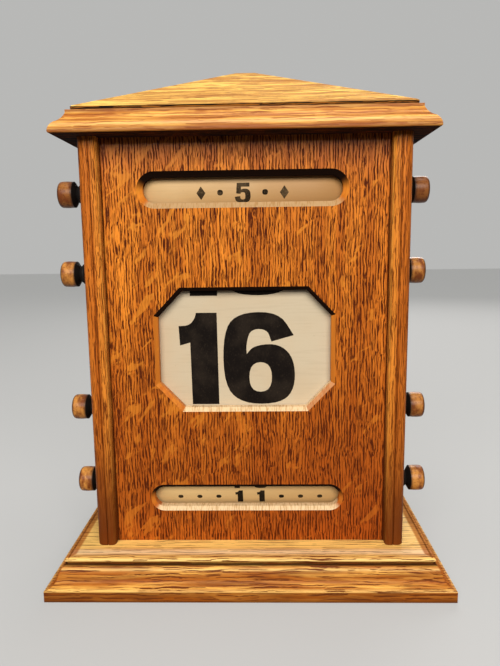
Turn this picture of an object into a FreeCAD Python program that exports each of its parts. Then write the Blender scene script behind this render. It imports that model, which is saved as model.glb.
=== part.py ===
"""Perpetual desk calendar: an oak case with three windows and four hand-turned rollers.

Millimetres, +Z up. The origin is the centre of the base's underside, and the front faces -Y.
Three windows in the front panel show a weekday drum, a printed linen scroll for the day of
the month, and a month drum. Each roller runs across the case on a wooden spindle that comes
out through both side boards and carries a turned knob at each end.
"""
import FreeCAD, Part
import math
import os

V = FreeCAD.Vector

# Case: the body between the base and the cornice
body_width = 180.0
body_depth = 80.0
body_height = 232.9
side_thickness = 10.8
nose_outer_radius = 4.4
nose_inner_radius = 2.4
quirk_from_inner_face = 4.2
quirk_width = 0.8
quirk_depth = 0.7

# Front panel, let into grooves in the side boards
panel_thickness = 6.0
panel_recess = 6.1
groove_depth = 3.0
groove_gap = 0.2

# Back panel, screwed into a rebate in each side board
back_thickness = 6.0
rebate_width = 5.0
rebate_gap = 0.3
back_screw_rows = 3

# Base: a thick moulded board with a thin beaded board on top of it
base_overhang = 24.2
base_lower_height = 16.9
fascia_height = 6.2
toe_width = 1.2
toe_rise = 0.3
ogee_middle_overhang = 18.4
ogee_middle_height = 10.6
ogee_top_overhang = 15.7
ogee_top_height = 16.3
ogee_upper_bulge = 0.35
ogee_lower_sag = 0.9
bead_overhang = 14.8
bead_height = 2.8
bead_quirk_height = 1.0
bead_quirk_depth = 1.2
bead_groove_width = 1.3
bead_groove_depth = 0.5

# Cornice: a moulded board on top of the body
cornice_height = 12.9
cornice_overhang = 11.0
cornice_under_round = 0.8
cornice_fascia_height = 1.4
cornice_nose_overhang = 8.3
cornice_nose_height = 6.0
cornice_top_overhang = 3.5
cornice_fillet_height = 1.6
cornice_nose_bulge = 0.5
cornice_cove_sag = 0.65

# Roof: a low hipped block that sits on a narrow shadow line
roof_overhang = 1.3
roof_line_height = 0.7
roof_line_depth = 3.0
roof_edge_height = 1.3
roof_arris_width = 1.0
roof_arris_rise = 0.8
roof_height = 27.9
roof_ridge_length = 11.0
roof_ridge_width = 3.0

# Windows, as their outer contours on the front face, and their bevels
window_offset = -1.5
day_window_width = 116.6
day_window_height = 20.0
day_window_above_axis = -0.3
day_bevel = 3.0
date_window_width = 103.0
date_window_height = 72.0
date_window_above_middle = -1.8
date_corner_width = 15.3
date_corner_height = 16.0
date_bevel = 2.2
month_window_width = 113.6
month_window_height = 16.2
month_window_above_axis = -1.7
month_bevel = 2.0
bevel_depth_share = 0.9

# Rollers: how the four axes are spaced up the body
day_axis_below_cornice = 27.6
date_upper_axis_below_day = 46.8
date_lower_axis_above_month = 47.4
month_axis_above_base = 28.6

# How far each spindle stands to the right of the middle, within its end float
day_shift = -2.3
date_upper_shift = -3.2
date_lower_shift = -1.2
month_shift = 0.4

# Drums with their printed bands
drum_radius = 18.3
drum_end_gap = 4.5
band_thickness = 0.3
band_from_drum_end = 6.0
band_to_panel = 0.6

# Spindles and the knobs on their ends
spindle_radius = 4.0
running_clearance = 0.05
scroll_core_radius = 5.0
core_beyond_linen = 14.0
end_float = 8.2
tenon_radius = 2.5
tenon_length = 9.0
tenon_end_gap = 0.4
knob_radius = 7.7
knob_barrel_bulge = 0.15
knob_edge_round = 2.0
knob_dome = 0.7
knob_edge_length = 1.7
knob_barrel_length = 5.6
knob_ring_length = 1.5
knob_taper_length = 2.1
knob_waist_radius = 4.3
knob_flare_length = 2.0
knob_collar_radius = 6.0
knob_collar_length = 1.0

# Printed linen scroll, half wound on each roller
linen_beyond_window = 7.5
linen_thickness = 0.25
linen_on_each_roll = 1019.0
linen_to_roll = 0.3

# Platen behind the date window, held off the panel by two strips
platen_side_gap = 3.5
platen_thickness = 3.0
platen_beyond_window = 3.5
platen_edge_radius = 1.5
strip_thickness = 1.2
strip_width = 12.0
linen_to_platen = 0.05

# Slotted wood screws, each turned a step further than the one before, and glue blocks
case_screw_radius = 1.75
case_screw_head_radius = 3.6
case_screw_head_height = 2.4
case_screw_grip = 15.0
case_screw_tip = 3.0
case_screw_inset = 15.0
case_screw_slot_width = 0.9
case_screw_slot_depth = 0.9
back_screw_radius = 1.2
back_screw_head_radius = 2.4
back_screw_head_height = 1.5
back_screw_grip = 9.0
back_screw_tip = 2.0
back_screw_end_margin = 22.0
back_screw_slot_width = 0.6
back_screw_slot_depth = 0.6
slot_turn_step = 47.0
block_side = 9.0
block_length = 20.0
block_from_back = 1.5

# One overrun serves every cutting tool
overrun = 5.0

# Places worked out from the sizes above
half_width = body_width / 2
half_depth = body_depth / 2
inner_half_width = half_width - side_thickness
base_height = base_lower_height + bead_quirk_height + bead_height
body_top = base_height + body_height
cornice_top = body_top + cornice_height
panel_front = -half_depth + panel_recess
panel_back = panel_front + panel_thickness
roller_y = panel_back + band_to_panel + band_thickness + drum_radius
platen_front = panel_back + strip_thickness
back_face = half_depth - back_thickness
back_screw_x = inner_half_width + rebate_width / 2
case_screw_x = half_width - side_thickness / 2
case_screw_y = half_depth - case_screw_inset
day_level = body_top - day_axis_below_cornice
date_upper_level = day_level - date_upper_axis_below_day
month_level = base_height + month_axis_above_base
date_lower_level = month_level + date_lower_axis_above_month
rollers = {
    "day": (day_level, day_shift),
    "date_upper": (date_upper_level, date_upper_shift),
    "date_lower": (date_lower_level, date_lower_shift),
    "month": (month_level, month_shift),
}
day_window_level = day_level + day_window_above_axis
date_window_level = (date_upper_level + date_lower_level) / 2 + date_window_above_middle
month_window_level = month_level + month_window_above_axis
drum_length = 2 * (inner_half_width - drum_end_gap)
spindle_between_knobs = body_width + end_float
linen_width = date_window_width + 2 * linen_beyond_window
linen_roll_radius = math.sqrt(scroll_core_radius**2 + linen_on_each_roll * linen_thickness / math.pi)
platen_half_width = inner_half_width - platen_side_gap
platen_low = date_window_level - date_window_height / 2 - platen_beyond_window
platen_high = date_window_level + date_window_height / 2 + platen_beyond_window


def outline_face(points, curves=None):
    """A face from points in order. curves maps a point's index to the middle of the arc after it."""
    curves = curves or {}
    edges = []
    for index, start in enumerate(points):
        end = points[(index + 1) % len(points)]
        if index in curves:
            edges.append(Part.Arc(start, curves[index], end).toShape())
        else:
            edges.append(Part.makeLine(start, end))
    return Part.Face(Part.Wire(edges))


def bulged_middle(start, end, bulge):
    """The middle of an arc from start to end that rises by bulge to the left of the way there."""
    middle = (start + end) / 2
    run = end - start
    left = V(-run.y, run.x, 0)
    left.normalize()
    return middle + left * bulge


def moulded_board(profile, bends, bottom):
    """A board with one moulding round all four sides and mitred corners.

    profile holds (overhang, height) points from the bottom edge to the top edge, and bends
    maps a point's index to how far the arc that follows it rises from its chord.
    """
    flat = [V(overhang, height, 0) for overhang, height in profile]
    middles = {}
    for index, bulge in bends.items():
        middles[index] = bulged_middle(flat[index], flat[index + 1], bulge)

    def section(half_span, place):
        count = len(flat)
        points = [place(half_span + p.x, bottom + p.y) for p in flat]
        points += [place(-half_span - p.x, bottom + p.y) for p in reversed(flat)]
        curves = {}
        for index, middle in middles.items():
            curves[index] = place(half_span + middle.x, bottom + middle.y)
            curves[2 * count - 2 - index] = place(-half_span - middle.x, bottom + middle.y)
        return outline_face(points, curves)

    reach = max(overhang for overhang, height in profile) + overrun
    y_start = -half_depth - reach
    x_start = -half_width - reach
    across = section(half_width, lambda side, height: V(side, y_start, height))
    along = section(half_depth, lambda side, height: V(x_start, side, height))
    front_to_back = across.extrude(V(0, -2 * y_start, 0))
    side_to_side = along.extrude(V(-2 * x_start, 0, 0))
    return front_to_back.common(side_to_side)


def screw(head_radius, head_height, shank_radius, length, tip_length):
    """A countersunk wood screw with its head's flat face at the origin, pointing along +Z."""
    points = [
        V(0, 0, 0),
        V(head_radius, 0, 0),
        V(shank_radius, 0, head_height),
        V(shank_radius, 0, length - tip_length),
        V(0, 0, length),
    ]
    return outline_face(points).revolve(V(0, 0, 0), V(0, 0, 1), 360)


def slot_cutter(head_radius, width, depth):
    """A cutting tool for the slot across a screw's head."""
    reach = head_radius + overrun
    return Part.makeBox(2 * reach, width, overrun + depth, V(-reach, -width / 2, -overrun))


def driven(blank, points, direction):
    """Copies of a screw or its slot cutter at points, along direction, each turned a little further."""
    copies = []
    for index, point in enumerate(points):
        turn = FreeCAD.Rotation(V(0, 0, 1), index * slot_turn_step)
        copy = blank.copy()
        copy.Placement = FreeCAD.Placement(point, FreeCAD.Rotation(V(0, 0, 1), direction) * turn)
        copies.append(copy)
    return copies


def case_screws(head_level, direction, boards_height):
    """Four screws through a base or a cornice into the ends of the side boards, and their slots."""
    length = boards_height + case_screw_grip
    blank = screw(case_screw_head_radius, case_screw_head_height, case_screw_radius, length, case_screw_tip)
    cutter = slot_cutter(case_screw_head_radius, case_screw_slot_width, case_screw_slot_depth)
    points = []
    for x in (-case_screw_x, case_screw_x):
        for y in (-case_screw_y, case_screw_y):
            points.append(V(x, y, head_level))
    return driven(blank, points, direction), driven(cutter, points, direction)


def back_screws():
    """The screws that hold the back panel, in even rows up both side boards, and their slots."""
    length = back_thickness + back_screw_grip
    blank = screw(back_screw_head_radius, back_screw_head_height, back_screw_radius, length, back_screw_tip)
    cutter = slot_cutter(back_screw_head_radius, back_screw_slot_width, back_screw_slot_depth)
    row_pitch = (body_height - 2 * back_screw_end_margin) / (back_screw_rows - 1)
    points = []
    for x in (-back_screw_x, back_screw_x):
        for row in range(back_screw_rows):
            points.append(V(x, half_depth, base_height + back_screw_end_margin + row * row_pitch))
    return driven(blank, points, V(0, -1, 0)), driven(cutter, points, V(0, -1, 0))


def slotted(screws, slots):
    """The screws with a slot across each head."""
    return Part.makeCompound([one.cut(slot) for one, slot in zip(screws, slots)])


base_screw_set, base_slots = case_screws(0, V(0, 0, 1), base_height)
cornice_screw_set, cornice_slots = case_screws(cornice_top, V(0, 0, -1), cornice_height)
back_screw_set, back_slots = back_screws()


def base_lower_board():
    """The thick board with an ogee between its fascia and the beaded board."""
    toe_overhang = base_overhang - toe_width
    profile = [
        (base_overhang, 0),
        (base_overhang, fascia_height),
        (toe_overhang, fascia_height + toe_rise),
        (ogee_middle_overhang, ogee_middle_height),
        (ogee_top_overhang, ogee_top_height),
        (bead_overhang, base_lower_height),
    ]
    board = moulded_board(profile, {2: ogee_lower_sag, 3: -ogee_upper_bulge}, 0)
    return board.cut(base_screw_set)


def base_upper_board():
    """The thin board on top, with a rounded bead between a quirk and a fine groove."""
    quirk_overhang = bead_overhang - bead_quirk_depth
    bead_overhang_at_ends = bead_overhang - bead_height / 2
    board_height = bead_quirk_height + bead_height
    profile = [
        (quirk_overhang, 0),
        (quirk_overhang, bead_quirk_height),
        (bead_overhang_at_ends, bead_quirk_height),
        (bead_overhang_at_ends, board_height),
        (bead_overhang_at_ends - bead_groove_width / 2, board_height - bead_groove_depth),
        (bead_overhang_at_ends - bead_groove_width, board_height),
    ]
    board = moulded_board(profile, {2: -bead_height / 2}, base_lower_height)
    return board.cut(base_screw_set)


def cornice_board():
    """The moulded top board: a rounded lower edge, a sloping nose and a cove up to a fillet."""
    fillet_level = cornice_height - cornice_fillet_height
    under_bulge = cornice_under_round * (1 - math.sqrt(0.5))
    profile = [
        (cornice_overhang - cornice_under_round, 0),
        (cornice_overhang, cornice_under_round),
        (cornice_overhang, cornice_fascia_height),
        (cornice_nose_overhang, cornice_nose_height),
        (cornice_top_overhang, fillet_level),
        (cornice_top_overhang, cornice_height),
    ]
    bends = {0: -under_bulge, 2: -cornice_nose_bulge, 3: cornice_cove_sag}
    board = moulded_board(profile, bends, body_top)
    return board.cut(cornice_screw_set)


def roof_block():
    """The low hipped roof, on a sunk edge that draws a shadow line above the cornice."""
    line_inset = roof_overhang - roof_line_depth
    edge_level = roof_line_height + roof_edge_height
    profile = [
        (line_inset, 0),
        (line_inset, roof_line_height),
        (roof_overhang, roof_line_height),
        (roof_overhang, edge_level),
        (roof_overhang - roof_arris_width, edge_level + roof_arris_rise),
    ]

    def slopes(half_span, half_ridge, place):
        half_outline = [(half_span + overhang, cornice_top + height) for overhang, height in profile]
        half_outline.append((half_ridge, cornice_top + roof_height))
        points = [place(side, level) for side, level in half_outline]
        points += [place(-side, level) for side, level in reversed(half_outline)]
        return outline_face(points)

    y_start = -half_depth - overrun
    x_start = -half_width - overrun
    across = slopes(half_width, roof_ridge_length / 2, lambda side, height: V(side, y_start, height))
    along = slopes(half_depth, roof_ridge_width / 2, lambda side, height: V(x_start, side, height))
    front_to_back = across.extrude(V(0, -2 * y_start, 0))
    side_to_side = along.extrude(V(-2 * x_start, 0, 0))
    return front_to_back.common(side_to_side)


def side_board(side):
    """A side board with a rounded front edge, a quirk, its groove, its rebate and four holes.

    side is 1 for the right board and -1 for the left one.
    """
    def place(from_inner_face, from_front):
        return V(side * (inner_half_width + from_inner_face), -half_depth + from_front, base_height)

    outer_arc = nose_outer_radius * (1 - math.sqrt(0.5))
    inner_arc = nose_inner_radius * (1 - math.sqrt(0.5))
    points = [
        place(0, body_depth),
        place(0, nose_inner_radius),
        place(nose_inner_radius, 0),
        place(quirk_from_inner_face, 0),
        place(quirk_from_inner_face + quirk_width / 2, quirk_depth),
        place(quirk_from_inner_face + quirk_width, 0),
        place(side_thickness - nose_outer_radius, 0),
        place(side_thickness, nose_outer_radius),
        place(side_thickness, body_depth),
    ]
    curves = {
        1: place(inner_arc, inner_arc),
        6: place(side_thickness - outer_arc, outer_arc),
    }
    board = outline_face(points, curves).extrude(V(0, 0, body_height))
    groove_x = min(side * inner_half_width, side * (inner_half_width + groove_depth))
    groove_corner = V(groove_x, panel_front, base_height)
    rebate_x = min(side * inner_half_width, side * (inner_half_width + rebate_width))
    rebate_corner = V(rebate_x, back_face, base_height)
    tools = [
        Part.makeBox(groove_depth, panel_thickness, body_height, groove_corner),
        Part.makeBox(rebate_width, back_thickness, body_height, rebate_corner),
    ]
    hole_radius = spindle_radius + running_clearance
    hole_length = side_thickness + 2 * overrun
    hole_start = side * (inner_half_width - overrun)
    for level, shift in rollers.values():
        start = V(hole_start, roller_y, level)
        tools.append(Part.makeCylinder(hole_radius, hole_length, start, V(side, 0, 0)))
    return board.cut(tools + base_screw_set + cornice_screw_set + back_screw_set)


def stadium(width, height, centre, y):
    """A slot outline with round ends on the plane at y."""
    half = (width - height) / 2
    radius = height / 2
    left = window_offset - half
    right = window_offset + half
    points = [
        V(left, y, centre - radius),
        V(right, y, centre - radius),
        V(right, y, centre + radius),
        V(left, y, centre + radius),
    ]
    edges = [
        Part.makeLine(points[0], points[1]),
        Part.Arc(points[1], V(right + radius, y, centre), points[2]).toShape(),
        Part.makeLine(points[2], points[3]),
        Part.Arc(points[3], V(left - radius, y, centre), points[0]).toShape(),
    ]
    return Part.Wire(edges)


def octagon(inset, y):
    """The date window's outline with its corners cut off, drawn in by inset on the plane at y."""
    half_w = date_window_width / 2
    half_h = date_window_height / 2
    slope = math.hypot(date_corner_width, date_corner_height)
    top_x = half_w - date_corner_width - inset * (slope - date_corner_width) / date_corner_height
    side_z = half_h - date_corner_height - inset * (slope - date_corner_height) / date_corner_width
    w = half_w - inset
    h = half_h - inset
    corners = [
        (-w, -side_z), (-top_x, -h), (top_x, -h), (w, -side_z),
        (w, side_z), (top_x, h), (-top_x, h), (-w, side_z),
    ]
    points = [V(window_offset + x, y, date_window_level + z) for x, z in corners]
    return Part.makePolygon(points + points[:1])


def bevelled_opening(outline, bevel):
    """A cutting tool through the panel. outline(inset, y) gives the window's wire."""
    bevel_depth = bevel * bevel_depth_share
    ahead = bevel * overrun / bevel_depth
    front = outline(-ahead, panel_front - overrun)
    shoulder = outline(bevel, panel_front + bevel_depth)
    mouth = Part.makeLoft([front, shoulder], True, True)
    throat_length = panel_back + overrun - panel_front - bevel_depth
    throat = Part.Face(shoulder).extrude(V(0, throat_length, 0))
    return mouth.fuse(throat)


def front_panel():
    """The front panel with its bevelled weekday, date and month windows."""
    half = inner_half_width + groove_depth - groove_gap
    corner = V(-half, panel_front, base_height)
    panel = Part.makeBox(2 * half, panel_thickness, body_height, corner)

    def day_outline(inset, y):
        return stadium(day_window_width - 2 * inset, day_window_height - 2 * inset, day_window_level, y)

    def month_outline(inset, y):
        width = month_window_width - 2 * inset
        return stadium(width, month_window_height - 2 * inset, month_window_level, y)

    tools = [
        bevelled_opening(day_outline, day_bevel),
        bevelled_opening(octagon, date_bevel),
        bevelled_opening(month_outline, month_bevel),
    ]
    return panel.cut(tools)


def back_panel():
    """The plain back panel, let into the rebates."""
    half = inner_half_width + rebate_width - rebate_gap
    panel = Part.makeBox(2 * half, back_thickness, body_height, V(-half, back_face, base_height))
    return panel.cut(back_screw_set)


def glue_blocks():
    """Four blocks in the corners behind the drums, against the side boards."""
    start_y = back_face - block_from_back - block_length
    blocks = []
    for x in (-inner_half_width, inner_half_width - block_side):
        for z in (base_height, body_top - block_side):
            blocks.append(Part.makeBox(block_side, block_length, block_side, V(x, start_y, z)))
    return Part.makeCompound(blocks)


def tube(inner_radius, outer_radius, length, centre):
    """A tube along X about centre."""
    start = centre - V(length / 2, 0, 0)
    outer = Part.makeCylinder(outer_radius, length, start, V(1, 0, 0))
    inner = Part.makeCylinder(inner_radius, length, start, V(1, 0, 0))
    return outer.cut(inner)


def spindle(centre, core_radius, core_length):
    """A turned spindle: a tenon for each knob, a journal through each side board, and its middle."""
    half_core = core_length / 2
    half_journal = spindle_between_knobs / 2
    half_length = half_journal + tenon_length
    steps = [
        (-half_length, 0), (-half_length, tenon_radius),
        (-half_journal, tenon_radius), (-half_journal, spindle_radius),
        (-half_core, spindle_radius), (-half_core, core_radius),
        (half_core, core_radius), (half_core, spindle_radius),
        (half_journal, spindle_radius), (half_journal, tenon_radius),
        (half_length, tenon_radius), (half_length, 0),
    ]
    points = []
    for along, radius in steps:
        point = centre + V(along, 0, radius)
        if not points or (point - points[-1]).Length > 0:
            points.append(point)
    return outline_face(points).revolve(centre, V(1, 0, 0), 360)


def knob(centre, side):
    """A turned knob: a barrel head with a low dome, a dark ring, a waist and a collar.

    Its collar's flat face stands at the spindle's shoulder, and side is 1 on the right.
    """
    foot = centre + V(side * spindle_between_knobs / 2, 0, 0)

    head_length = knob_dome + knob_edge_length + knob_barrel_length
    ring_end = head_length + knob_ring_length
    waist = ring_end + knob_taper_length
    collar_start = waist + knob_flare_length
    knob_length = collar_start + knob_collar_length
    socket_end = knob_length - tenon_length - tenon_end_gap
    barrel_radius = knob_radius - knob_barrel_bulge
    face_radius = knob_radius - knob_edge_round
    edge_start = knob_dome + knob_edge_length

    def place(from_end, radius):
        return foot + V(side * (knob_length - from_end), 0, radius)

    points = [
        place(0, 0),
        place(knob_dome, face_radius),
        place(edge_start, barrel_radius),
        place(head_length, barrel_radius),
        place(ring_end, barrel_radius),
        place(waist, knob_waist_radius),
        place(collar_start, knob_collar_radius),
        place(knob_length, knob_collar_radius),
        place(knob_length, tenon_radius),
        place(socket_end, tenon_radius),
        place(socket_end, 0),
    ]
    face_share = 0.6
    edge_share = 0.7
    edge_radius = face_radius + (barrel_radius - face_radius) * edge_share
    curves = {
        0: place(knob_dome * (1 - face_share), face_radius * face_share),
        1: place(knob_dome + knob_edge_length * (1 - edge_share), edge_radius),
        2: place((edge_start + head_length) / 2, knob_radius),
    }
    return outline_face(points, curves).revolve(foot, V(1, 0, 0), 360)


def linen_leg(roll_level, bend_level, sign, lift, roll_radius):
    """One end of the cloth: where it leaves the roll, and its bend over the platen's edge.

    sign is 1 at the upper roll and -1 at the lower one, and lift is the bend's distance from
    the platen. The middle of the bend comes back beside the three points.
    """
    roll = V(0, roller_y, roll_level)
    bend = V(0, platen_front + platen_edge_radius, bend_level)
    bend_radius = platen_edge_radius + lift
    run = roll - bend
    lean = math.asin((roll_radius - bend_radius) / run.Length)
    slope = math.atan2(sign * run.z, run.y) + lean
    halfway = (slope + math.pi / 2) / 2
    normal = V(0, -math.sin(slope), sign * math.cos(slope))
    towards_middle = V(0, -math.sin(halfway), sign * math.cos(halfway))
    points = [roll + normal * roll_radius, bend + normal * bend_radius, bend - V(0, bend_radius, 0)]
    return points, bend + towards_middle * bend_radius


def linen_span():
    """The stretch of linen between the two wound rolls, over the platen's rounded edges."""
    upper_bend = platen_high - platen_edge_radius
    lower_bend = platen_low + platen_edge_radius
    inner_radius = linen_roll_radius + linen_to_roll
    outer_radius = inner_radius + linen_thickness
    near = linen_to_platen
    far = linen_to_platen + linen_thickness
    inner_top, inner_top_middle = linen_leg(date_upper_level, upper_bend, 1, near, inner_radius)
    inner_low, inner_low_middle = linen_leg(date_lower_level, lower_bend, -1, near, inner_radius)
    outer_top, outer_top_middle = linen_leg(date_upper_level, upper_bend, 1, far, outer_radius)
    outer_low, outer_low_middle = linen_leg(date_lower_level, lower_bend, -1, far, outer_radius)
    loop = inner_top + inner_low[::-1] + outer_low + outer_top[::-1]
    curves = {1: inner_top_middle, 3: inner_low_middle, 7: outer_low_middle, 9: outer_top_middle}
    to_left_edge = V(window_offset - linen_width / 2, 0, 0)
    points = [point + to_left_edge for point in loop]
    bends = {index: point + to_left_edge for index, point in curves.items()}
    return outline_face(points, bends).extrude(V(linen_width, 0, 0))


def date_platen():
    """The thin board that keeps the linen flat behind the date window."""
    corner = V(-platen_half_width, platen_front, platen_low)
    board = Part.makeBox(2 * platen_half_width, platen_thickness, platen_high - platen_low, corner)
    long_edges = []
    for edge in board.Edges:
        along_front = edge.BoundBox.YMax < platen_front + linen_to_platen
        if along_front and edge.BoundBox.XLength > platen_half_width:
            long_edges.append(edge)
    return board.makeFillet(platen_edge_radius, long_edges)


def platen_strips():
    """The two strips that space the platen off the back of the front panel."""
    start = platen_low + platen_edge_radius
    height = platen_high - platen_edge_radius - start
    strips = []
    for x in (-platen_half_width, platen_half_width - strip_width):
        strips.append(Part.makeBox(strip_width, strip_thickness, height, V(x, panel_back, start)))
    return Part.makeCompound(strips)


def drum_set(name):
    """A drum, its printed band, its spindle and its two knobs."""
    level, shift = rollers[name]
    centre = V(shift, roller_y, level)
    band_length = drum_length - 2 * band_from_drum_end
    return {
        name + "_drum": tube(spindle_radius, drum_radius, drum_length, centre),
        name + "_band": tube(drum_radius, drum_radius + band_thickness, band_length, centre),
        name + "_spindle": spindle(centre, spindle_radius, drum_length),
        name + "_knob_left": knob(centre, -1),
        name + "_knob_right": knob(centre, 1),
    }


def scroll_set(name):
    """A scroll roller with its wound linen and its two knobs."""
    level, shift = rollers[name]
    centre = V(shift, roller_y, level)
    roll_centre = V(window_offset, roller_y, level)
    core_length = linen_width + 2 * core_beyond_linen
    return {
        name + "_spindle": spindle(centre, scroll_core_radius, core_length),
        name + "_linen_roll": tube(scroll_core_radius, linen_roll_radius, linen_width, roll_centre),
        name + "_knob_left": knob(centre, -1),
        name + "_knob_right": knob(centre, 1),
    }


def all_nodes():
    """Every named piece of the calendar."""
    nodes = {
        "base_lower_board": base_lower_board(),
        "base_upper_board": base_upper_board(),
        "left_side_board": side_board(-1),
        "right_side_board": side_board(1),
        "front_panel": front_panel(),
        "back_panel": back_panel(),
        "cornice_board": cornice_board(),
        "roof_block": roof_block(),
        "glue_blocks": glue_blocks(),
        "base_screws": slotted(base_screw_set, base_slots),
        "cornice_screws": slotted(cornice_screw_set, cornice_slots),
        "back_screws": slotted(back_screw_set, back_slots),
        "date_platen": date_platen(),
        "platen_strips": platen_strips(),
        "date_linen_span": linen_span(),
    }
    nodes.update(drum_set("day"))
    nodes.update(scroll_set("date_upper"))
    nodes.update(scroll_set("date_lower"))
    nodes.update(drum_set("month"))
    return nodes


os.makedirs("parts", exist_ok=True)
for node_name, shape in all_nodes().items():
    shape.exportStep("parts/" + node_name + ".step")
    print(node_name, len(shape.Solids), "solids", shape.isValid(), round(shape.Volume))
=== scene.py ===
"""Perpetual desk calendar in golden oak: finishes, printed linen, camera and light."""
import bmesh
import bpy
import math
from mathutils import Matrix, Vector


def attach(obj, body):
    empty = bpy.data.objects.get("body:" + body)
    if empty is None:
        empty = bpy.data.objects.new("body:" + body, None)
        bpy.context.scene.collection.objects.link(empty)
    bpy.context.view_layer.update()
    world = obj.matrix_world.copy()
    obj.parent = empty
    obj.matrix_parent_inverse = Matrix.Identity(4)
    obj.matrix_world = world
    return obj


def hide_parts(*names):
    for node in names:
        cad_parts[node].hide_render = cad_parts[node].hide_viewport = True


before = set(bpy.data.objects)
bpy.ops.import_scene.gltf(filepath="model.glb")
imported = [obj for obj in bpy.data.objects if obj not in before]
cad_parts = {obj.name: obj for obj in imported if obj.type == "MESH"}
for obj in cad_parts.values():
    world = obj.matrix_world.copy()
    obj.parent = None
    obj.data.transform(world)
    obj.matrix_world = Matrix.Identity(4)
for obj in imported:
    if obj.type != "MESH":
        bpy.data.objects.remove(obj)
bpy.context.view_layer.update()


# The camera stands a little above the date window and to its right, and looks slightly
# down, as in the photograph.
camera = bpy.data.objects.new("camera", bpy.data.cameras.new("camera"))
bpy.context.scene.collection.objects.link(camera)
bpy.context.scene.camera = camera
camera.data.sensor_fit = "HORIZONTAL"
camera.data.sensor_width = 36.0
camera.data.lens = 41.56
turned_left = 0.024
tipped_down = 0.151
leaning_right = 0.013
yaw = Matrix.Rotation(turned_left, 4, "Z")
pitch = Matrix.Rotation(math.pi / 2 - tipped_down, 4, "X")
roll = Matrix.Rotation(-leaning_right, 4, "Z")
stand = Matrix.Translation((0.00943, -0.35685, 0.19518))
camera.matrix_world = stand @ yaw @ pitch @ roll
bpy.context.scene.view_settings.view_transform = "Standard"


# The room: a plain pale floor under a pale world, one soft lamp straight overhead, a wide one in
# front, above the case, and a weak one behind. The floor gives back less light than it shows.
class Wire:
    """A shader socket that sums and products can be written with."""

    def __init__(self, finish, socket):
        self.finish = finish
        self.socket = socket

    def math(self, operation, *values):
        return self.finish.node("Math", {"operation": operation}, dict(enumerate(values)))

    def __add__(self, other):
        return self.math("ADD", self, other)

    def __radd__(self, other):
        return self.math("ADD", other, self)

    def __sub__(self, other):
        return self.math("SUBTRACT", self, other)

    def __rsub__(self, other):
        return self.math("SUBTRACT", other, self)

    def __mul__(self, other):
        return self.math("MULTIPLY", self, other)

    def __rmul__(self, other):
        return self.math("MULTIPLY", other, self)

    def __abs__(self):
        return self.math("ABSOLUTE", self)

    def rise(self, low, high):
        """0 below low and 1 above high, with a smooth step between; the other way if low is higher."""
        sockets = {"Value": self, "From Min": low, "From Max": high}
        return self.finish.node("MapRange", {"interpolation_type": "SMOOTHSTEP"}, sockets)

    def near(self, level, reach):
        """1 at level, falling to 0 at reach from it."""
        return abs(self - level).rise(reach, 0)


class Finish:
    """A procedural finish: the nodes that feed one shader tree."""

    def __init__(self, owner):
        owner.use_nodes = True
        self.owner = owner
        self.nodes = owner.node_tree.nodes
        self.links = owner.node_tree.links

    def node(self, kind, settings=None, sockets=None, output=0):
        made = self.nodes.new("ShaderNode" + kind)
        for name, value in (settings or {}).items():
            setattr(made, name, value)
        self.feed(made, sockets or {})
        return Wire(self, made.outputs[output])

    def feed(self, node, sockets):
        for name, value in sockets.items():
            if isinstance(value, Wire):
                self.links.new(value.socket, node.inputs[name])
            else:
                node.inputs[name].default_value = value

    def mix(self, share, first, second):
        """A colour between first and second."""
        first, second = [c if isinstance(c, Wire) else (*c, 1.0) for c in (first, second)]
        return self.node("Mix", {"data_type": "RGBA"}, {0: share, 6: first, 7: second}, 2)

    def vector(self, operation, *values):
        return self.node("VectorMath", {"operation": operation}, dict(enumerate(values)))

    def noise(self, place, scale, detail=2.0, output=0):
        return self.node("TexNoise", {}, {"Vector": place, "Scale": scale, "Detail": detail}, output)

    def seen(self):
        """1 for what is looked at, also in a reflection, and 0 for the light that it gives off."""
        path = self.nodes.new("ShaderNodeLightPath")
        camera, gloss, through = [Wire(self, path.outputs["Is %s Ray" % ray])
                                  for ray in ("Camera", "Glossy", "Transmission")]
        return camera.math("MAXIMUM", camera, gloss.math("MAXIMUM", gloss, through))

    def surface(self, sockets):
        self.feed(self.nodes["Principled BSDF"], sockets)
        return self.owner


def lamp(name, place, target, size, power, colour):
    data = bpy.data.lights.new(name, "AREA")
    data.shape = "RECTANGLE"
    data.size, data.size_y = size
    data.energy = power
    data.color = colour
    made = bpy.data.objects.new(name, data)
    bpy.context.scene.collection.objects.link(made)
    made.location = place
    made.rotation_euler = (Vector(target) - Vector(place)).to_track_quat("-Z", "Y").to_euler()


lamp("overhead_lamp", (0.05, -0.10, 1.20), (0.0, -0.05, 0.15), (0.70, 0.50), 7.0, (1.0, 0.97, 0.92))
lamp("front_lamp", (0.0, -1.15, 0.78), (0.0, -0.03, 0.14), (1.40, 0.70), 26.0, (1.0, 0.97, 0.93))
lamp("back_lamp", (0.45, 1.30, 0.90), (0.0, 0.05, 0.12), (0.90, 0.70), 11.0, (1.0, 0.97, 0.94))

sky = Finish(bpy.data.worlds.new("sky"))
bpy.context.scene.world = sky.owner
sky_colour = sky.mix(sky.seen(), (0.08, 0.08, 0.08), (0.48, 0.48, 0.47))
sky.feed(sky.nodes["Background"], {"Color": sky_colour})

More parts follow.
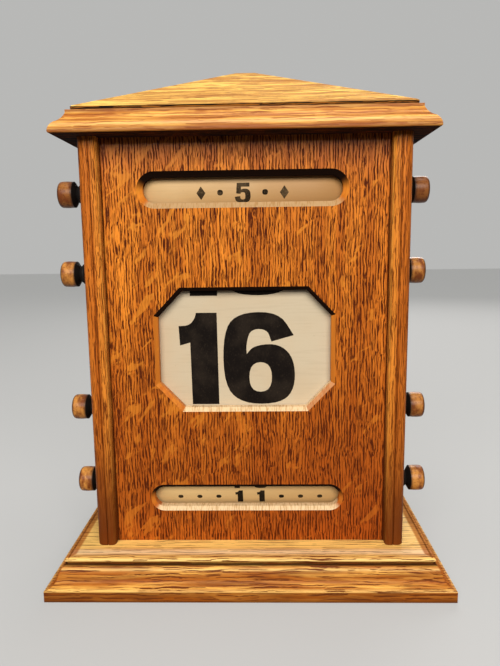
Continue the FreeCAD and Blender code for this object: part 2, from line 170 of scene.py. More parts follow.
floor_drop = 0.0002
bpy.ops.mesh.primitive_grid_add(
    x_subdivisions=2, y_subdivisions=2, size=8.0, location=(0.0, 0.0, -floor_drop))
floor = bpy.context.object
floor.name = "floor"
paint = Finish(bpy.data.materials.new("floor_paint"))
floor.data.materials.append(paint.surface({
    "Base Color": paint.mix(paint.seen(), (0.04, 0.04, 0.04), (0.22, 0.22, 0.22)),
    "Emission Color": paint.mix(paint.seen(), (0.0, 0.0, 0.0), (0.32, 0.32, 0.31)),
    "Emission Strength": 1.0,
    "Roughness": 0.7,
    "Specular IOR Level": 0.1,
}))


# The base: a thick moulded oak board under a thinner one with a bead, both varnished gold,
# with their grain across the front. Painted light brightens what faces up, a painted highlight
# runs along the bead and the toe, and painted shade darkens the steep faces and the recesses.
def oak(name, grain, pale, deep, figure, pore_gap, pore_length, pore_level):
    """An oak finish, still open: its nodes, the place in the wood, its colour and its pores.

    grain is the axis that the fibres follow, and figure is how far apart the year rings come
    out. The pores are streaks where a noise passes pore_level, so a lower one gives more of them.
    """
    finish = Finish(bpy.data.materials.new(name))
    here = finish.node("TexCoord", output="Object")
    waves = finish.noise(here, 45.0, 3.0, "Color")
    sway = (0.003, 0.003, 0.003)
    wavy = finish.vector("MULTIPLY_ADD", waves, sway, here)

    def along_grain(across, along):
        scales = [along if axis == grain else across for axis in "XYZ"]
        return finish.vector("MULTIPLY", wavy, scales)

    rings = finish.noise(along_grain(1 / figure, 0.05 / figure), 1.0, 3.0)
    fibres = finish.noise(along_grain(1000.0, 22.0), 1.0, 3.0)
    colour = finish.mix(rings.rise(0.36, 0.66), pale, deep)
    colour = finish.mix(fibres.rise(0.40, 0.64) * 0.6, colour, deep)
    rows = finish.node("TexWave", {"bands_direction": "DIAGONAL"},
                       {"Vector": along_grain(0.15 / pore_gap, 0.0), "Scale": 1.0}, 1)
    streaks = finish.noise(along_grain(1 / pore_gap, 1 / pore_length), 1.0, 2.0)
    streaks = streaks + (rings - 0.5) * 0.08 + (rows - 0.5) * 0.13
    return finish, here, colour, streaks.rise(pore_level - 0.03, pore_level + 0.06)


def varnished(finish, colour, pores, pore, rough=0.36, shine=0.12, dull=0.0):
    """Closes an oak finish: the pores are dark and sunk a little under the old varnish.

    shine is how much the varnish shines, and dull says where it is dull: over painted shade, and over dull
    end grain on the base.
    """
    relief = finish.node("Bump", {}, {"Strength": 0.35, "Distance": 0.0003, "Height": 1 - pores})
    return finish.surface({
        "Base Color": finish.mix(pores, colour, pore),
        "Roughness": rough + pores * 0.2 + dull * 0.6,
        "Specular IOR Level": shine,
        "Normal": relief,
        "Coat Weight": (1 - dull) * (shine * 0.7),
        "Coat Roughness": 0.16,
    })


def dress(material, *nodes):
    """Gives each of these CAD pieces the material."""
    for name in nodes:
        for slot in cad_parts[name].material_slots:
            slot.material = material


def level(finish, here, axis="Z"):
    """The height of a place, or how far along another axis it is."""
    return finish.node("SeparateXYZ", {}, {0: here}, axis)


def facing(finish, axis="Z"):
    """How far a face looks up, or along another axis: from -1 to 1."""
    return level(finish, finish.node("NewGeometry", output="Normal"), axis)


gold = (0.84, 0.45, 0.090)
amber = (0.40, 0.130, 0.017)
rust = (0.21, 0.048, 0.006)
brown = (0.13, 0.030, 0.005)
shadow_black = (0.010, 0.004, 0.002)
base_oak, here, colour, pores = oak("base_oak", "X", gold, amber, 0.0022, 0.0006, 0.028, 0.56)
up = facing(base_oak)
height = level(base_oak, here)
along = level(base_oak, here, "X")
beside = abs(along)
before = abs(level(base_oak, here, "Y"))
# The flat top: painted light makes it golden, most of all by the panel where the case shades it,
# with a painted pale sheen further out and painted shade beside the fine groove.
flat_top = up.rise(0.75, 0.95) * height.rise(0.0180, 0.0200)
painted_light_by_panel = before.rise(0.0445, 0.0410)
painted_sheen = before.near(0.0475, 0.0050)
groove_shade = before.near(0.0516, 0.0016)
colour = base_oak.mix(flat_top * 0.25, colour, (0.96, 0.50, 0.11))
colour = base_oak.mix(flat_top * painted_light_by_panel * 0.6, colour, (1.0, 0.64, 0.17))
colour = base_oak.mix(flat_top * painted_sheen * 0.65, colour, (0.82, 0.62, 0.42))
colour = base_oak.mix(flat_top * groove_shade * 0.45, colour, rust)
pores = pores * (1 - flat_top * 0.35)
# The steep faces: painted shade, redder and darker, most in the ogee's hollow and on the fascia,
# where light from above falls less; and a dark figure in the wood.
fascia = height.rise(0.0060, 0.0056)
hollow = height.near(0.0088, 0.0020)
swell = height.near(0.0104, 0.0040)
painted_shade = up.rise(0.85, 0.1) * 0.38 + swell * 0.25
painted_shade = painted_shade + hollow * 0.35 + fascia * 0.35
colour = base_oak.mix(painted_shade, colour, (0.30, 0.066, 0.004))
figure_at = base_oak.vector("MULTIPLY", here, (22.0, 22.0, 240.0))
dark_figure = base_oak.noise(figure_at, 1.0, 3.0).rise(0.48, 0.68)
dark_end = height.rise(0.0066, 0.0054) * along.rise(-0.070, -0.100)
darkened = dark_figure * up.rise(0.95, 0.75) * 0.55 + dark_end * 0.5
colour = base_oak.mix(darkened, colour, brown)
# A painted highlight on the edges that catch the light: the toe, the bead and the shoulder of the ogee.
toe = height.near(0.0063, 0.0007)
bead = height.near(0.0197, 0.0014)
shoulder = height.near(0.0150, 0.0010)
painted_highlight = toe * 0.6 + bead * 1.2 + shoulder * 0.6
colour = base_oak.mix(painted_highlight * 0.7, colour, (1.0, 0.68, 0.24))
# The mouldings on the left and right show end grain, which has gone red and dull.
side_run = (beside - before).rise(0.0490, 0.0505)
ends = side_run * beside.rise(0.0988, 0.1002) * height.rise(0.0060, 0.0068)
colour = base_oak.mix(ends * 0.75, colour, (0.36, 0.080, 0.008))
# Painted shade in the quirk, in the fine groove, underneath and along the foot of the fascia.
quirk = height.near(0.0170, 0.0009)
underneath = up.rise(-0.2, -0.6)
foot = height.rise(0.0020, 0.0)
groove = before.near(0.05275, 0.0009) * (1 - side_run) + beside.near(0.10275, 0.0009) * side_run
painted_shadow = quirk * 0.95 + underneath + foot * 0.6
painted_shadow = painted_shadow + groove * height.rise(0.0196, 0.0200) * 0.45
shade_and_end_grain = painted_shadow + ends * 0.8
colour = base_oak.mix(painted_shadow, colour, shadow_black)
dress(varnished(base_oak, colour, pores, brown, shine=0.05, dull=shade_and_end_grain),
      "base_lower_board", "base_upper_board")


# The side boards: upright oak boards with a rounded front edge and a fine quirk inside it.
# They are screwed through the base and the cornice, and carry the spindles in plain holes. A painted
# highlight lies on the strip between quirk and panel, with painted light on the reveal's edge and painted
# shade in the quirk; the boards are darker low down and darkest at the feet.
side_oak, here, colour, pores = oak(
    "side_oak", "Z", (0.64, 0.185, 0.022), (0.44, 0.108, 0.011), 0.0030, 0.00034, 0.016, 0.53)
across = abs(level(side_oak, here, "X"))
front_edge = level(side_oak, here, "Y").rise(-0.0338, -0.0341)
inner_strip = across.rise(0.0835, 0.0815) * front_edge
inner_edge = across.rise(0.0801, 0.0794) * front_edge
quirk = across.near(0.0835, 0.0007) * front_edge
# Painted light: a highlight on the inner strip and light on the reveal's edge; painted shade in the quirk.
colour = side_oak.mix(inner_strip * 0.5, colour, (0.80, 0.29, 0.036))
colour = side_oak.mix(inner_edge * 0.7, colour, (1.0, 0.46, 0.080))
colour = side_oak.mix(quirk * 0.35, colour, shadow_black)
height = level(side_oak, here)
low_down = height.rise(0.14, 0.02)
foot = height.rise(0.095, 0.024)
colour = side_oak.mix(low_down * 0.5, colour, rust)
colour = side_oak.mix(foot * 0.80, colour, (0.08, 0.018, 0.004))
dress(varnished(side_oak, colour, pores, (0.14, 0.030, 0.0035), shine=0.05),
      "left_side_board", "right_side_board")


# The front panel: quarter-sawn oak let into grooves, redder than the rest, with dense pores and
# golden flecks across the grain. Its windows are bevelled, and the lower bevels show pale wood.
panel_oak, here, colour, pores = oak(
    "panel_oak", "Z", (0.80, 0.252, 0.024), (0.53, 0.138, 0.012), 0.006, 0.00040, 0.0105, 0.50)
height = level(panel_oak, here)
across = level(panel_oak, here, "X")
# The flecks lean, break up on the fibres, and come more often on the left.
strips = panel_oak.noise(panel_oak.vector("MULTIPLY", here, (700.0, 700.0, 30.0)), 1.0, 1.0)
leaning = {"Vector": here, "Angle": 0.80}
flecks_at = panel_oak.node("VectorRotate", {"rotation_type": "Y_AXIS"}, leaning)
flecks_at = panel_oak.vector("MULTIPLY", flecks_at, (55.0, 55.0, 140.0))
wild = {"Vector": flecks_at, "Scale": 1.0, "Detail": 3.0, "Distortion": 0.7}
flecks = panel_oak.node("TexNoise", {}, wild) + (strips - 0.5) * 0.2
flecks = flecks + (0.5 - across.rise(-0.07, 0.06)) * 0.07
flecks = flecks.rise(0.60, 0.67)
pores = pores * (1 - flecks * 0.7)
# The panel is darker low down and on the right; painted shade and sheen brown it under the cornice.
low_down = height.rise(0.20, 0.03)
right_half = across.rise(-0.02, 0.06)
under_cornice = height.rise(0.225, 0.250)
shade = low_down * 0.78 + right_half * 0.2
colour = panel_oak.mix(shade, colour, (0.34, 0.065, 0.006))
colour = panel_oak.mix(flecks * (0.55 - shade * 0.4), colour, (0.68, 0.245, 0.024))
colour = panel_oak.mix(under_cornice * 0.45, colour, (0.34, 0.10, 0.036))
# The bevels: the upright ones are a little brighter, and those that face up are pale end grain,
# darker in the weekday's window. Painted shade makes those that face down black, and runs as a
# dark line down each side of the panel where it meets the stiles.
up = facing(panel_oak)
bevels = facing(panel_oak, "Y").rise(-0.95, -0.85)
upright = bevels * (1 - abs(up).rise(0.2, 0.5))
left_corners = facing(panel_oak, "X").rise(0.3, 0.5)
sills = bevels * up.rise(0.35, 0.65) * (1 - left_corners * 0.9)
end_grain = panel_oak.noise(panel_oak.vector("MULTIPLY", here, (1800.0, 200.0, 200.0)), 1.0, 1.0)
pale_end = panel_oak.mix(end_grain.rise(0.45, 0.70), (0.74, 0.53, 0.30), (0.52, 0.31, 0.14))
pale_end = panel_oak.mix(height.rise(0.18, 0.21) * 0.6, pale_end, (0.36, 0.18, 0.055))
colour = panel_oak.mix(upright * 0.25, colour, (0.90, 0.33, 0.045))
colour = panel_oak.mix(sills, colour, pale_end)
corners = abs(across).rise(0.0780, 0.0788)
painted_shadow = bevels * up.rise(0.10, -0.45) + corners * 0.85
colour = panel_oak.mix(painted_shadow, colour, shadow_black)
pores = pores * (1 - bevels)
dress(varnished(panel_oak, colour, pores, (0.075, 0.012, 0.0012), 0.42, 0.06, painted_shadow),
      "front_panel")


# The back panel: a plain oak board, stained dark and hardly varnished, let into rebates and
# held by slotted screws.
back_oak, here, colour, pores = oak(
    "back_oak", "Z", (0.30, 0.14, 0.05), (0.20, 0.085, 0.028), 0.008, 0.0010, 0.012, 0.56)
dress(varnished(back_oak, colour, pores, (0.06, 0.022, 0.009), 0.58, 0.0), "back_panel")


# The cornice: one moulded oak board screwed down on the side boards, with a painted highlight on its nose.
cornice_oak, here, colour, pores = oak("cornice_oak", "X", gold, amber, 0.0022, 0.0006, 0.028, 0.58)
up = facing(cornice_oak)
height = level(cornice_oak, here)
steep = up.rise(0.8, 0.1)
above_nose = height.near(0.2606, 0.0022)
nose = height.near(0.2578, 0.0019)
lower_edge = height.rise(0.2566, 0.2550)
# Painted shade on the steep faces, above the nose and along its lower edge; a painted highlight on the
# nose.
colour = cornice_oak.mix(steep * 0.50 + above_nose * 0.4, colour, rust)
colour = cornice_oak.mix(nose * 0.35, colour, (0.90, 0.56, 0.23))
colour = cornice_oak.mix(lower_edge * 0.35, colour, rust)
pores = pores * (1 - nose * 0.5)
ends = abs(facing(cornice_oak, "X")).rise(0.25, 0.5)
colour = cornice_oak.mix(ends * 0.6, colour, rust)
# Painted shade underneath.
painted_shadow = up.rise(-0.85, -0.97)
colour = cornice_oak.mix(painted_shadow, colour, shadow_black)
dress(varnished(cornice_oak, colour, pores, (0.22, 0.060, 0.008), shine=0.09, dull=painted_shadow),
      "cornice_board")


# The roof: a low hipped block glued on top, the palest wood on the case because light and
# dusting have worn its varnish thin. Painted shade darkens the shadow line under it.
roof_oak, here, colour, pores = oak(
    "roof_oak", "X", (0.86, 0.54, 0.115), (0.44, 0.185, 0.027), 0.0032, 0.0005, 0.030, 0.54)
painted_shadow = level(roof_oak, here).rise(0.2688, 0.2684)
colour = roof_oak.mix(painted_shadow, colour, shadow_black)
dress(varnished(roof_oak, colour, pores, (0.22, 0.078, 0.011), 0.40, dull=painted_shadow), "roof_block")


# Inside the case: glue blocks, the platen with its strips, and the two drums, all of plain pale
# softwood that was never varnished.
raw_wood, here, colour, pores = oak(
    "raw_wood", "X", (0.56, 0.40, 0.22), (0.44, 0.29, 0.14), 0.006, 0.0010, 0.012, 0.60)
dress(varnished(raw_wood, colour, pores, (0.26, 0.15, 0.07), 0.7, 0.0),
      "glue_blocks", "platen_strips", "date_platen", "day_drum", "month_drum")


# The spindles: turned hardwood rods, blackened like the necks of the knobs.
spindle_wood = Finish(bpy.data.materials.new("spindle_wood"))
here = spindle_wood.node("TexCoord", output="Object")
streaks = spindle_wood.noise(spindle_wood.vector("MULTIPLY", here, (40.0, 500.0, 500.0)), 1.0, 2.0)
dress(spindle_wood.surface({
    "Base Color": spindle_wood.mix(streaks, (0.020, 0.013, 0.009), (0.060, 0.036, 0.022)),
    "Roughness": 0.35 + streaks * 0.2,
}), *[name + "_spindle" for name in ("day", "date_upper", "date_lower", "month")])


# The knobs: turned from one piece each, varnished brown on the head and blackened behind it,
# and glued on the spindles' tenons. Painted shade darkens them unevenly, most of all the weekday's
# and those on the right, and rims the edges of each head. shift is where a roller has slid to
# along its axis.
for name, shift, shadow_share in (
    ("day", -0.0023, 0.65),
    ("date_upper", -0.0032, 0.15),
    ("date_lower", -0.0012, 0.22),
    ("month", 0.0004, 0.0),
):
    knob_wood = Finish(bpy.data.materials.new(name + "_knob_wood"))
    here = knob_wood.node("TexCoord", output="Object")
    across = level(knob_wood, here, "X")
    along = abs(across - shift)
    figure = knob_wood.noise(knob_wood.vector("MULTIPLY", here, (260.0, 150.0, 150.0)), 1.0, 4.0)
    specks = knob_wood.noise(here, 900.0, 2.0)
    painted_shade = across.rise(-0.05, 0.05) * 0.16
    darkened = shadow_share + painted_shade + specks.rise(0.55, 0.70) * 0.4
    tone = knob_wood.mix(figure.rise(0.38, 0.66), (0.64, 0.27, 0.055), (0.20, 0.050, 0.008))
    tone = knob_wood.mix(darkened, tone, (0.14, 0.036, 0.007))
    shaded_rims = along.near(0.1076, 0.0014) + along.rise(0.1010, 0.0992)
    tone = knob_wood.mix(shaded_rims * 0.85, tone, (0.045, 0.014, 0.004))
    head = (along + (figure - 0.5) * 0.0010).rise(0.0990, 0.0996)
    dress(knob_wood.surface({
        "Base Color": knob_wood.mix(head, (0.008, 0.006, 0.005), tone),
        "Roughness": 0.60 - head * 0.28 + figure * 0.08,
        "Specular IOR Level": 0.14,
        "Coat Weight": head * 0.10,
        "Coat Roughness": 0.25,
    }), name + "_knob_left", name + "_knob_right")


# The screws: slotted, of brass that has gone dull and brown.
screw_brass = Finish(bpy.data.materials.new("screw_brass"))
here = screw_brass.node("TexCoord", output="Object")
tarnish = screw_brass.noise(here, 900.0, 3.0)
dress(screw_brass.surface({
    "Base Color": screw_brass.mix(tarnish.rise(0.35, 0.65), (0.50, 0.36, 0.14), (0.16, 0.10, 0.05)),
    "Metallic": 1.0,
    "Roughness": 0.35 + tarnish * 0.3,
}), "base_screws", "cornice_screws", "back_screws")


# The date scroll: printed linen, 118 mm wide, that comes off the lower roller, runs up over the
# platen behind the window, and winds onto the upper one. Millimetres are turned into metres.
def cloth(name, pale, stain, dirt, weave_round=None):
    """Primed linen: an even weave, brown blotches, and a relief of its threads.

    weave_round gives the axis, as (y, z), of a drum that the linen is wrapped on.
    """
    finish = Finish(bpy.data.materials.new(name))
    here = finish.node("TexCoord", output="Object")
    weave_per_metre = 9000.0
    weave_per_radian = 167.0
    across = level(finish, here, "X") * weave_per_metre
    if weave_round:
        y = level(finish, here, "Y") - weave_round[0]
        z = level(finish, here) - weave_round[1]
        up = y.math("ARCTAN2", y, z) * weave_per_radian
    else:
        up = level(finish, here) * weave_per_metre
    threads = across.math("SINE", across) * 0.25 + up.math("SINE", up) * 0.25 + 0.5
    slubs = finish.noise(finish.vector("MULTIPLY", here, (60.0, 60.0, 900.0)), 1.0, 2.0)
    blotches = finish.noise(here, 28.0, 3.0)
    specks = finish.noise(here, 480.0, 2.0)
    colour = finish.mix(blotches.rise(0.40, 0.72) * 0.7, pale, stain)
    colour = finish.mix((slubs.rise(0.5, 0.7) * 0.6 + threads * 0.4) * 0.16, colour, dirt)
    colour = finish.mix(specks.rise(0.70, 0.78) * 0.5, colour, dirt)
    relief = finish.node("Bump", {}, {"Strength": 0.25, "Distance": 0.0001, "Height": threads})
    return finish, colour, {"Roughness": 0.62, "Normal": relief}


def ink(name, print_colour, bare, worn):
    """Black print that has worn thin: worn is how much of the cloth shows through."""
    finish = Finish(bpy.data.materials.new(name))
    here = finish.node("TexCoord", output="Object")
    patches = finish.noise(here, 90.0, 4.0)
    specks = finish.noise(finish.vector("MULTIPLY", here, (1500.0, 900.0, 900.0)), 1.0, 2.0)
    gone = (patches.rise(0.62, 0.30) + specks.rise(0.55, 0.75)) * worn
    return finish.surface({
        "Base Color": finish.mix(gone, print_colour, bare),
        "Roughness": 0.7,
        "Specular IOR Level": 0.05,
    })


mm = 0.001
roller_y = -8.7
upper_level = 179.2
lower_level = 96.7
linen_offset = -1.5
linen_width = 118.0
linen_thickness = 0.25
print_lift = 0.155
roll_radius = 10.75
platen_front = -26.7
platen_edge = 1.5
bend_radius = 1.67
upper_bend = 174.15
lower_bend = 98.15


def scroll_leg(roll_level, bend_level, sign):
    """The linen's line from a roll to the platen's flat front, as (y, z) points."""
    run_y = roller_y - platen_front - platen_edge
    run_z = roll_level - bend_level
    lean = math.asin((roll_radius - bend_radius) / math.hypot(run_y, run_z))
    slope = math.atan2(sign * run_z, run_y) + lean
    off_roll_y = roller_y - math.sin(slope) * roll_radius
    points = [(off_roll_y, roll_level + sign * math.cos(slope) * roll_radius)]
    steps = 8
    for step in range(steps + 1):
        turn = slope + (math.pi / 2 - slope) * step / steps
        y = platen_front + platen_edge - math.sin(turn) * bend_radius
        points.append((y, bend_level + sign * math.cos(turn) * bend_radius))
    return points


def evened(points, step):
    """The same line with points no further apart than step."""
    line = [Vector(points[0])]
    for start, end in zip(points, points[1:]):
        run = Vector(end) - Vector(start)
        count = max(1, math.ceil(run.length / step))
        line += [Vector(start) + run * (i + 1) / count for i in range(count)]
    return line


scroll_line = evened(
    scroll_leg(lower_level, lower_bend, -1) + scroll_leg(upper_level, upper_bend, 1)[::-1], 2.0)


def distances(line):
    """How far along the line each of its points is."""
    total = [0.0]
    for start, end in zip(line, line[1:]):
        total.append(total[-1] + (end - start).length)
    return total


def ripple(x, z):
    """How far the linen stands off the platen: it isn't quite flat."""
    broad = math.sin(x * 0.13 + z * 0.021)
    narrow = math.sin(x * 0.31 - z * 0.05 + 1.0) * 0.5
    upright = math.sin(z * 0.11) * 0.4
    depth = 0.06
    return depth * (broad + narrow + upright + 1.9)


def strip(name, line, start_x, width, columns, body, material, place=None):
    """One layer of linen that follows a line of (y, z) points, in millimetres."""
    across = [start_x + width * i / columns for i in range(columns + 1)]
    points = []
    for y, z in line:
        points += [Vector((x, y, z)) for x in across]
    if place:
        points = [place(p) for p in points]
    row = columns + 1
    faces = []
    for i in range(len(line) - 1):
        for j in range(columns):
            corner = i * row + j
            faces.append((corner, corner + 1, corner + row + 1, corner + row))
    mesh = bpy.data.meshes.new(name)
    mesh.from_pydata([p * mm for p in points], [], faces)
    mesh.shade_smooth()
    mesh.materials.append(material)
    made = bpy.data.objects.new(name, mesh)
    bpy.context.scene.collection.objects.link(made)
    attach(made, body)
    return made


def rippled(p):
    """A place on the scroll, moved off the platen where the line is flat."""
    fade = 6.0
    flat = min(1.0, max(0.0, (min(p.z - lower_bend, upper_bend - p.z)) / fade))
    return p - Vector((0, ripple(p.x, p.z) * flat, 0))


def thicken(made, thickness):
    solid = made.modifiers.new("thickness", "SOLIDIFY")
    solid.thickness = thickness * mm
    solid.offset = 0.0


cream = (0.56, 0.46, 0.31)
date_linen, colour, sockets = cloth("date_linen", cream, (0.55, 0.41, 0.25), (0.31, 0.22, 0.14))
date_linen = date_linen.surface({"Base Color": colour, **sockets})
date_scroll = strip("date_scroll", scroll_line, linen_offset - linen_width / 2, linen_width, 40,
                    "case", date_linen, rippled)
thicken(date_scroll, linen_thickness)
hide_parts("date_linen_span")

# The scroll's print: bold upright numerals, one number to each 64 mm of linen, so that the foot
# of the number before shows above the one in the window. Points in a pair are (across, up), in
# shares of the numeral's height, and a third value marks a sharp corner.
sharp = True
numerals = {
    "0": [[(0, .15), (0, .85), (.14, 1), (.60, 1), (.74, .85), (.74, .15), (.60, 0), (.14, 0)],
          [(.27, .16), (.27, .84), (.47, .84), (.47, .16)]],
    "1": [[(.41, 1, sharp), (.42, 0, sharp), (.13, 0, sharp), (.12, .68, sharp), (.01, .65, sharp),
           (0, .86, sharp), (.11, .865), (.17, .93), (.19, 1, sharp)]],
    "2": [[(0, 0, sharp), (.76, 0, sharp), (.76, .2, sharp), (.37, .2, sharp), (.48, .30), (.76, .50),
           (.77, .82), (.62, 1), (.14, 1), (.02, .86), (.01, .66, sharp), (.27, .64, sharp), (.28, .83),
           (.49, .83), (.51, .66), (.42, .48), (.02, .26)]],
    "3": [[(.02, .68, sharp), (.27, .66, sharp), (.29, .83), (.48, .83), (.49, .62), (.27, .60, sharp),
           (.27, .44, sharp), (.51, .45), (.51, .16), (.28, .16), (.26, .34, sharp), (0, .31, sharp),
           (.02, .08), (.18, 0), (.60, 0), (.77, .14), (.77, .42), (.62, .53), (.74, .62), (.73, .88),
           (.58, 1), (.18, 1), (.04, .88)]],
    "4": [[(.44, 0, sharp), (.68, 0, sharp), (.68, .2, sharp), (.78, .2, sharp), (.78, .38, sharp),
           (.68, .38, sharp), (.68, 1, sharp), (.40, 1, sharp), (0, .40, sharp), (0, .2, sharp),
           (.44, .2, sharp)],
          [(.44, .38, sharp), (.44, .70, sharp), (.22, .38, sharp)]],
    "5": [[(.07, .47, sharp), (.10, 1, sharp), (.72, 1, sharp), (.72, .8, sharp), (.31, .8, sharp),
           (.30, .66, sharp), (.40, .70), (.62, .70), (.77, .56), (.77, .15), (.60, 0), (.16, 0),
           (.02, .12), (0, .30, sharp), (.26, .33, sharp), (.28, .16), (.50, .16), (.51, .34), (.50, .52),
           (.30, .52), (.28, .44, sharp)]],
    "6": [[(.758, .751, sharp), (.517, .684, sharp), (.47, .82), (.29, .82), (.245, .66),
           (.249, .552, sharp), (.33, .645), (.60, .665), (.765, .50), (.775, .17), (.62, 0), (.20, 0),
           (-.005, .2), (-.005, .8), (.16, 1), (.60, 1.005)],
          [(.275, .46), (.52, .46), (.52, .135), (.275, .135)]],
    "7": [[(0, 1, sharp), (.76, 1, sharp), (.76, .84, sharp), (.48, .50), (.40, 0, sharp), (.12, 0, sharp),
           (.17, .40), (.48, .8, sharp), (0, .8, sharp)]],
    "8": [[(.14, 1), (.60, 1), (.73, .86), (.71, .60), (.58, .54), (.77, .46), (.77, .12), (.62, 0),
           (.15, 0), (0, .12), (0, .46), (.19, .54), (.06, .60), (.04, .86)],
          [(.28, .85), (.49, .85), (.49, .63), (.28, .63)],
          [(.27, .43), (.50, .43), (.50, .15), (.27, .15)]],
    "dot": [[(0, .38), (0, .66), (.28, .66), (.28, .38)]],
    "lozenge": [[(.22, .84, sharp), (.44, .5, sharp), (.22, .16, sharp), (0, .5, sharp)]],
}
numerals["9"] = [[(.76 - p[0], 1 - p[1], *p[2:]) for p in outline] for outline in numerals["6"]]


def printed(name, marks, place, body, material, foot_limit=-1e3, head_limit=1e3):
    """Print on a cloth, between two limits.

    marks holds (numeral, left, foot, width scale, height) in millimetres, and place gives the
    point of the cloth for each (across, up).
    """
    flat = bmesh.new()
    for numeral, left, foot, stretch, tall in marks:
        curve = bpy.data.curves.new(name, "CURVE")
        curve.dimensions = "2D"
        curve.fill_mode = "BOTH"
        curve.resolution_u = 5
        for outline in numerals[numeral]:
            points = []
            for point in outline:
                points += [point[:2]] * (2 if len(point) == 3 else 1)
            spline = curve.splines.new("NURBS")
            spline.points.add(len(points) - 1)
            for made, (across, up) in zip(spline.points, points):
                made.co = (left + across * stretch * tall, foot + up * tall, 0, 1)
            spline.order_u = 3
            spline.use_cyclic_u = True
        shape = bpy.data.objects.new(name + "_outline", curve)
        flat.from_mesh(bpy.data.meshes.new_from_object(shape))
        bpy.data.objects.remove(shape)
    # Cuts across the print, every few millimetres, let it bend with the cloth.
    for axis, step in ((0, 3.0), (1, 1.3)):
        direction = (1 - axis, axis, 0)
        low = min(v.co[axis] for v in flat.verts)
        high = max(v.co[axis] for v in flat.verts)
        for i in range(1, int((high - low) / step) + 1):
            cut = [(low + i * step) * share for share in direction]
            parts = flat.verts[:] + flat.edges[:] + flat.faces[:]
            bmesh.ops.bisect_plane(flat, geom=parts, dist=1e-5, plane_co=cut, plane_no=direction)
    for limit, outward in ((foot_limit, (0, -1, 0)), (head_limit, (0, 1, 0))):
        parts = flat.verts[:] + flat.edges[:] + flat.faces[:]
        bmesh.ops.bisect_plane(
            flat, geom=parts, plane_co=(0, limit, 0), plane_no=outward, clear_outer=True)
    for vertex in flat.verts:
        vertex.co = place(vertex.co.x, vertex.co.y) * mm
    mesh = bpy.data.meshes.new(name)
    flat.to_mesh(mesh)
    flat.free()
    mesh.shade_smooth()
    mesh.materials.append(material)
    made = bpy.data.objects.new(name, mesh)
    bpy.context.scene.collection.objects.link(made)
    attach(made, body)
    return made


scroll_reach = distances(scroll_line)
flat_start = next(
    reach for reach, point in zip(scroll_reach, scroll_line) if point[1] > lower_bend - 0.001)


def on_scroll(across, up):
    """A place just in front of the linen, up being the height where it lies flat on the platen."""
    reach = min(max(flat_start + up - lower_bend, 0.0), scroll_reach[-1])
    index = next(i for i, end in enumerate(scroll_reach[1:]) if end >= reach)
    run = scroll_line[index + 1] - scroll_line[index]
    share = (reach - scroll_reach[index]) / run.length
    outward = Vector((-run.y, run.x)).normalized()
    y, z = scroll_line[index] + run * share + outward * print_lift
    return rippled(Vector((across, y, z)))


black = (0.006, 0.004, 0.003)
date_ink = ink("date_ink", black, (0.034, 0.024, 0.016), 0.4)
number_pitch = 64.0
number_foot = 102.8
number_height = 54.2
tens_left = -39.8
units_left = -13.9
margin = 1.0
marks = []
for line, second in ((number_pitch, "5"), (0.0, "6"), (-number_pitch, "7")):
    marks.append(("1", tens_left, number_foot + line, 1.0, number_height))
    marks.append((second, units_left, number_foot + line, 0.99, number_height))
scroll_start = lower_bend - flat_start
ends = [scroll_start + margin, scroll_start + scroll_reach[-1] - margin]
date_print = printed("date_print", marks, on_scroll, "case", date_ink, *ends)


# The rolls: the rest of the scroll, half of its two metres wound on each roller.
core_radius = 5.0
wound_radius = 10.3
clear = 0.1
points_to_a_turn = 30
for roller, roll_level in (("date_upper", upper_level), ("date_lower", lower_level)):
    turns = (wound_radius - core_radius) / linen_thickness
    steps = int(turns * points_to_a_turn)
    spiral = []
    for step in range(steps + 1):
        angle = 2 * math.pi * turns * step / steps
        radius = core_radius + clear + (turns * linen_thickness - 2 * clear) * step / steps
        spiral.append((roller_y + radius * math.cos(angle), roll_level + radius * math.sin(angle)))
    roll = strip(roller + "_roll", spiral, linen_offset - linen_width / 2, linen_width, 1,
                 roller + "_roller", date_linen)
    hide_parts(roller + "_linen_roll")


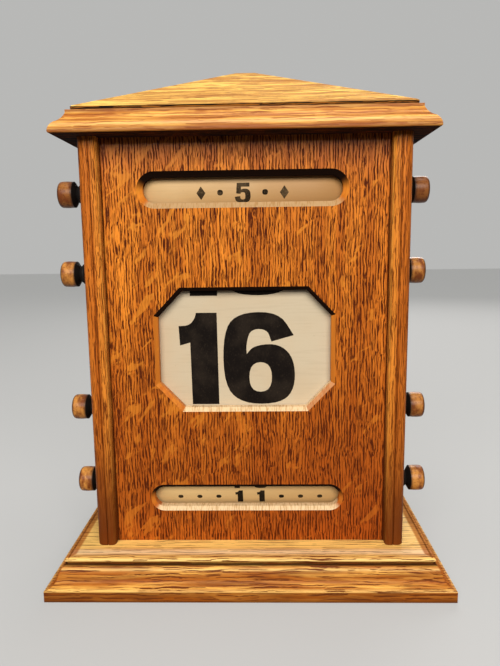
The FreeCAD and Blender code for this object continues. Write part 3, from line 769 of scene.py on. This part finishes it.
# The bands: linen strips, printed with numbers and glued round the weekday and month drums. Each
# ends in an overlap, which is as long as it takes to end between two numbers. front is the
# number that shows, and the tones are those of the band's left and right ends.
band_radius = 18.475
band_width = 140.0
lap_lift = 0.28
lap_run = 0.12
for drum, body, axis_level, shift, count, front, tall, overlap, left_tone, right_tone in (
    ("day", "day_roller", 226.0, -2.3, 7, 5, 10.9, 0.20, (0.55, 0.34, 0.135), (0.37, 0.185, 0.055)),
    ("month", "month_roller", 49.3, 0.4, 12, 11, 8.3, 0.495, (0.65, 0.43, 0.18), (0.51, 0.30, 0.11)),
):

    def wrapped(angle, above=0.0):
        """The (y, z) point of the band at an angle; its last part lies over its start."""
        lift = min(1.0, max(0.0, (angle - 2 * math.pi) / lap_run + 1))
        radius = band_radius + lap_lift * lift + above
        return roller_y + radius * math.cos(angle), axis_level + radius * math.sin(angle)

    steps = 180
    wrap = [wrapped((2 * math.pi + overlap) * step / steps) for step in range(steps + 1)]
    axis_at = (roller_y * mm, axis_level * mm)
    band_linen, colour, sockets = cloth(
        drum + "_linen", left_tone, (0.62, 0.42, 0.20), (0.25, 0.14, 0.06), axis_at)
    across = level(band_linen, band_linen.node("TexCoord", output="Object"), "X")
    colour = band_linen.mix(across.rise(-0.05, 0.05) * 0.9, colour, right_tone)
    band_linen = band_linen.surface({"Base Color": colour, **sockets})
    band = strip(drum + "_cloth", wrap, shift - band_width / 2, band_width, 4, body, band_linen)
    thicken(band, linen_thickness)
    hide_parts(drum + "_band")
    print_radius = band_radius + print_lift

    def on_drum(across, up):
        """A place on the band's face; the band's end falls between two numbers."""
        angle = math.pi - up / print_radius
        if angle < overlap:
            angle += 2 * math.pi
        return Vector((across, *wrapped(angle, print_lift)))

    marks = []
    pitch = 2 * math.pi * print_radius / count
    for number in range(1, count + 1):
        foot = (front - number) * pitch
        if foot > pitch * count / 2:
            foot -= pitch * count
        if foot < -pitch * count / 2:
            foot += pitch * count
        digits = [(d, 0.42 if d == "1" else 0.76) for d in str(number)]
        if drum == "day":
            signs = [("lozenge", .44), ("dot", .28), *digits, ("dot", .28), ("lozenge", .44)]
            gap, stretch, centre, base_foot = 6.6, 1.05, -1.6, -7.3
        else:
            signs = [("dot", .28)] * 3 + digits + [("dot", .28)] * 3
            gap, stretch, centre, base_foot = 8.4, 1.35, 0.3, -8.5
        total = sum(width for sign, width in signs) * stretch * tall + gap * (len(signs) - 1)
        left = centre - total / 2
        for sign, width in signs:
            marks.append((sign, left, foot + base_foot, stretch, tall))
            left += width * stretch * tall + gap
    worn = 0.5 if drum == "day" else 0.2
    drum_print = printed(drum + "_print", marks, on_drum, body,
                         ink(drum + "_ink", (0.012, 0.008, 0.004), (0.15, 0.095, 0.045), worn))
